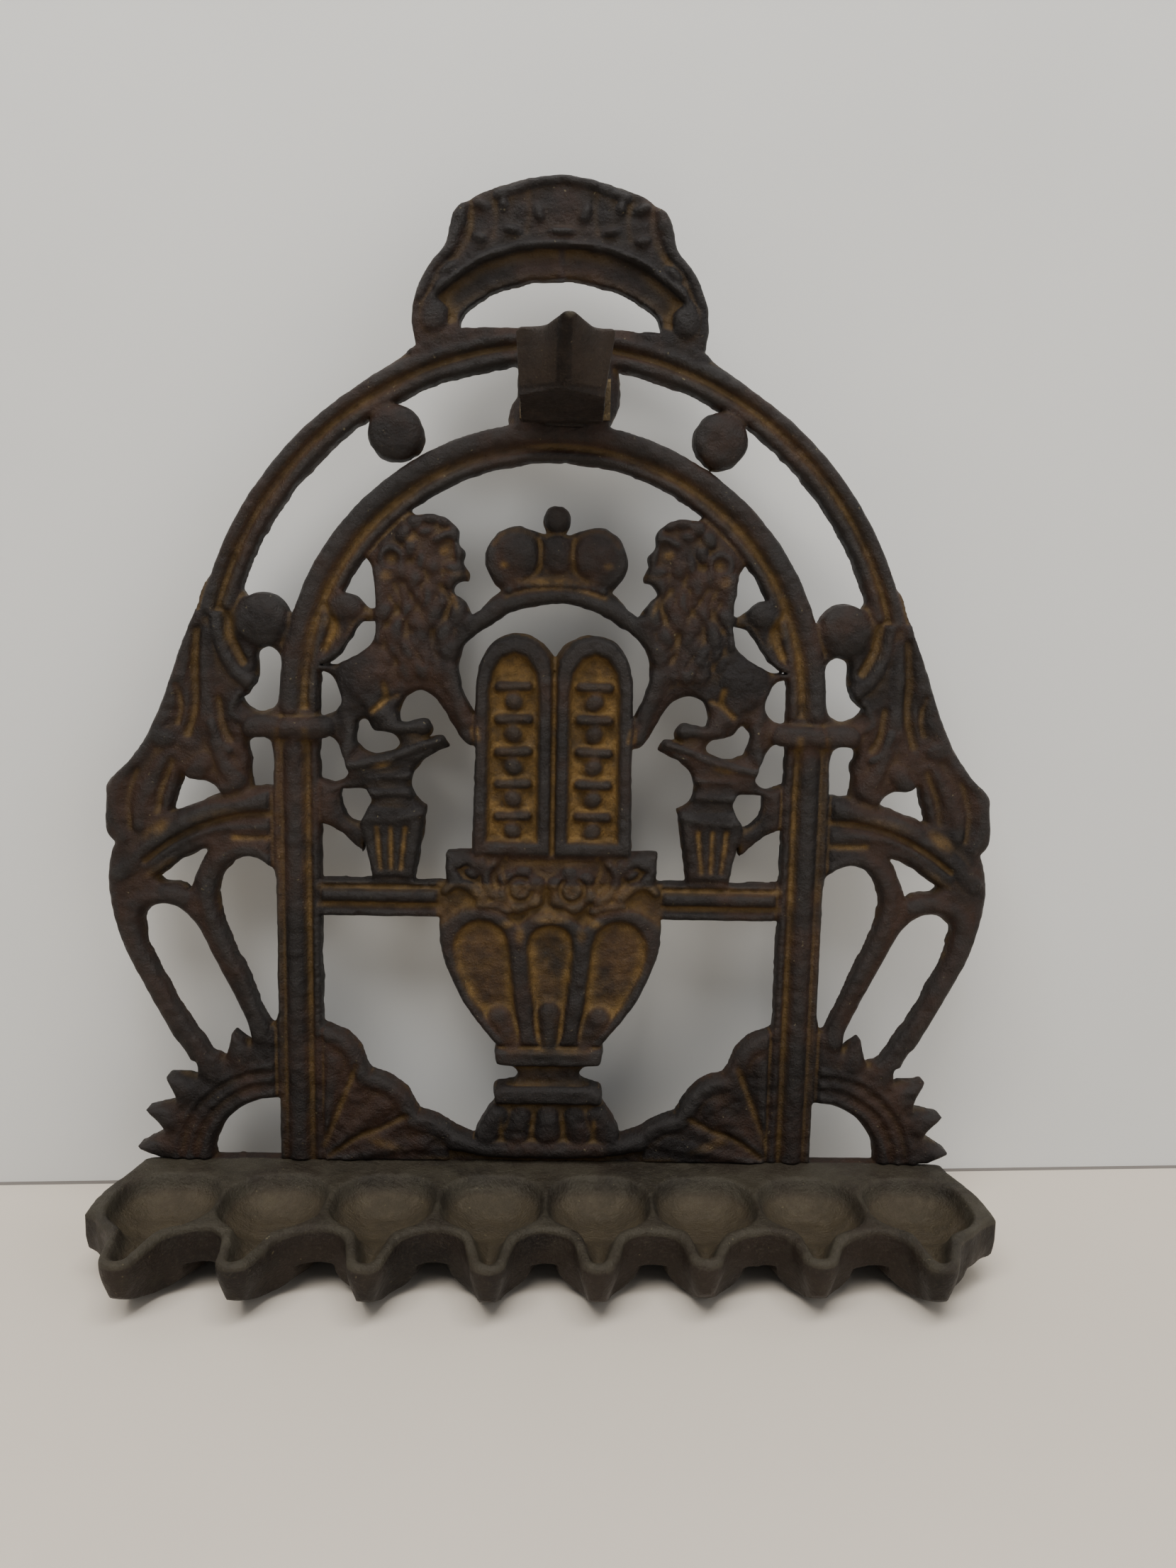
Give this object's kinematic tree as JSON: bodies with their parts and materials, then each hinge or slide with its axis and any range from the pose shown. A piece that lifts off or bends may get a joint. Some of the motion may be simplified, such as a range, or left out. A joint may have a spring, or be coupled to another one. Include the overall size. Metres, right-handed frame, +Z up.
{
  "type": "hanukkah lamp",
  "caption": "Cast brass bench-type menorah: openwork arched backplate with lions, crown and tablets, a row of oil wells with spouts at its foot, and a lift-off servant lamp.",
  "frame": {"origin": "on the surface it stands on, under the middle of its bounding box", "axes": "+X to the viewer's right, +Y from the front to the back, +Z up"},
  "size_m": [0.238, 0.0572, 0.2773],
  "materials": {
    "aged_brass": "dark patina with golden recesses",
    "row_brass": "worn grey-green patina",
    "servant_brass": "worn dark patina",
    "strap_brass": "dark patina",
    "fastener_brass": "dull"
  },
  "bodies": {
    "lamp": {"backplate": "aged_brass", "oil_pan_row": "row_brass", "servant_strap": "strap_brass", "strap_rivet_left": "fastener_brass", "strap_rivet_right": "fastener_brass", "row_screw_left": "fastener_brass", "row_screw_middle": "fastener_brass", "row_screw_right": "fastener_brass"},
    "servant": {"servant_lamp": "servant_brass"}
  },
  "joints": [
    {"name": "servant_lift", "type": "slide", "parent": "lamp", "child": "servant", "axis": [0, 0, 1], "range_m": [0, 0.015]}
  ]
}
